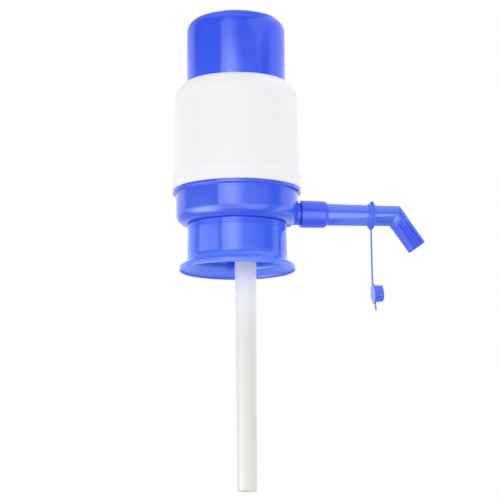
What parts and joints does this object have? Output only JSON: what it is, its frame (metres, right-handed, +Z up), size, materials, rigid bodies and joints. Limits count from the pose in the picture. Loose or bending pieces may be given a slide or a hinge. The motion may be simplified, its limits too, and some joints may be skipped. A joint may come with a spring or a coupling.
{
  "type": "water jug hand pump",
  "caption": "Hand-pressed pump that clamps on the neck of a large water jug: press cap, barrel, body with lock collar, elbowed spout with tethered dust cap, and dip tube.",
  "frame": {"origin": "centre of the jug-rim seat (underside of the neck gasket), on the pump's axis", "axes": "+Z up along the pump's axis, +X the direction the spout points, +Y to the left of the spout seen from behind the pump"},
  "size_m": [0.159, 0.0798, 0.2998],
  "materials": {
    "blue_plastic": "gloss moulded blue plastic",
    "blue_soft": "soft moulded blue plastic, satin",
    "white_plastic": "satin white plastic, slightly translucent",
    "inner_plastic": "plain white moulded plastic",
    "bellows_plastic": "soft white blow-moulded plastic",
    "spring_steel": "bright spring wire",
    "screw_steel": "bright steel",
    "valve_rubber": "soft translucent silicone rubber",
    "seal_rubber": "pale silicone rubber",
    "tube_plastic": "satin natural off-white plastic, slightly translucent"
  },
  "bodies": {
    "housing": {"pump_body": "blue_plastic", "barrel": "white_plastic", "valve_plate": "inner_plastic", "bellows": "bellows_plastic", "return_spring": "spring_steel", "bellows_clamp_ring": "inner_plastic", "clamp_ring_screws": "screw_steel", "outlet_valve": "valve_rubber", "neck_gasket": "seal_rubber", "dip_tube": "tube_plastic", "tube_seal": "seal_rubber", "spout_seal": "seal_rubber"},
    "press_cap": {"press_cap": "blue_plastic", "bellows_top_plate": "inner_plastic", "bellows_head_ring": "inner_plastic", "top_plate_screws": "screw_steel", "inlet_valve": "valve_rubber"},
    "lock_collar": {"neck_collar": "blue_plastic"},
    "jaw_1": {"neck_jaw_1": "blue_plastic"},
    "jaw_2": {"neck_jaw_2": "blue_plastic"},
    "jaw_3": {"neck_jaw_3": "blue_plastic"},
    "jaw_4": {"neck_jaw_4": "blue_plastic"},
    "union_nut": {"union_nut": "blue_plastic"},
    "spout": {"spout_tube": "blue_plastic"},
    "strap_ring": {"strap_ring": "blue_soft"},
    "strap": {"cap_strap": "blue_soft"},
    "dust_cap": {"dust_cap": "blue_soft"}
  },
  "joints": [
    {"name": "cap_press", "type": "slide", "parent": "housing", "child": "press_cap", "axis": [0, 0, -1], "range_m": [0, 0.03], "stiffness_N_per_m": 350, "springref_m": -0.012, "deforming": ["bellows", "return_spring"]},
    {"name": "collar_slide", "type": "slide", "parent": "housing", "child": "lock_collar", "axis": [0, 0, -1], "range_m": [0, 0.008]},
    {"name": "jaw_1_clamp", "type": "hinge", "parent": "housing", "child": "jaw_1", "pos_m": [0.02012, 0.02012, -0.00145], "axis": [-0.7071, 0.7071, 0], "range_deg": [0, 1.5]},
    {"name": "jaw_2_clamp", "type": "hinge", "parent": "housing", "child": "jaw_2", "pos_m": [-0.02012, 0.02012, -0.00145], "axis": [-0.7071, -0.7071, 0], "range_deg": [0, 1.5]},
    {"name": "jaw_3_clamp", "type": "hinge", "parent": "housing", "child": "jaw_3", "pos_m": [-0.02012, -0.02012, -0.00145], "axis": [0.7071, -0.7071, 0], "range_deg": [0, 1.5]},
    {"name": "jaw_4_clamp", "type": "hinge", "parent": "housing", "child": "jaw_4", "pos_m": [0.02012, -0.02012, -0.00145], "axis": [0.7071, 0.7071, 0], "range_deg": [0, 1.5]},
    {"name": "nut_turn", "type": "hinge", "parent": "housing", "child": "union_nut", "pos_m": [0.0485, 0, 0.0095], "axis": [1, 0, 0], "continuous": true},
    {"name": "spout_swivel", "type": "hinge", "parent": "housing", "child": "spout", "pos_m": [0.0505, 0, 0.0095], "axis": [1, 0, 0], "continuous": true},
    {"name": "ring_swing", "type": "hinge", "parent": "spout", "child": "strap_ring", "pos_m": [0.0847, 0, 0.0095], "axis": [1, 0, 0], "continuous": true},
    {"name": "strap_flex", "type": "hinge", "parent": "strap_ring", "child": "strap", "pos_m": [0.08485, 0, 0], "axis": [0, -1, 0], "range_deg": [-20, 50], "stiffness_Nm_per_rad": 0.004},
    {"name": "dust_cap_flex", "type": "hinge", "parent": "strap", "child": "dust_cap", "pos_m": [0.0851, 0, -0.0326], "axis": [0, -1, 0], "range_deg": [-30, 68], "stiffness_Nm_per_rad": 0.003}
  ],
  "couplings": [
    {"joint": "jaw_1_clamp", "follows": "collar_slide", "rad_per_m": 3.2722},
    {"joint": "jaw_2_clamp", "follows": "collar_slide", "rad_per_m": 3.2722},
    {"joint": "jaw_3_clamp", "follows": "collar_slide", "rad_per_m": 3.2722},
    {"joint": "jaw_4_clamp", "follows": "collar_slide", "rad_per_m": 3.2722}
  ]
}
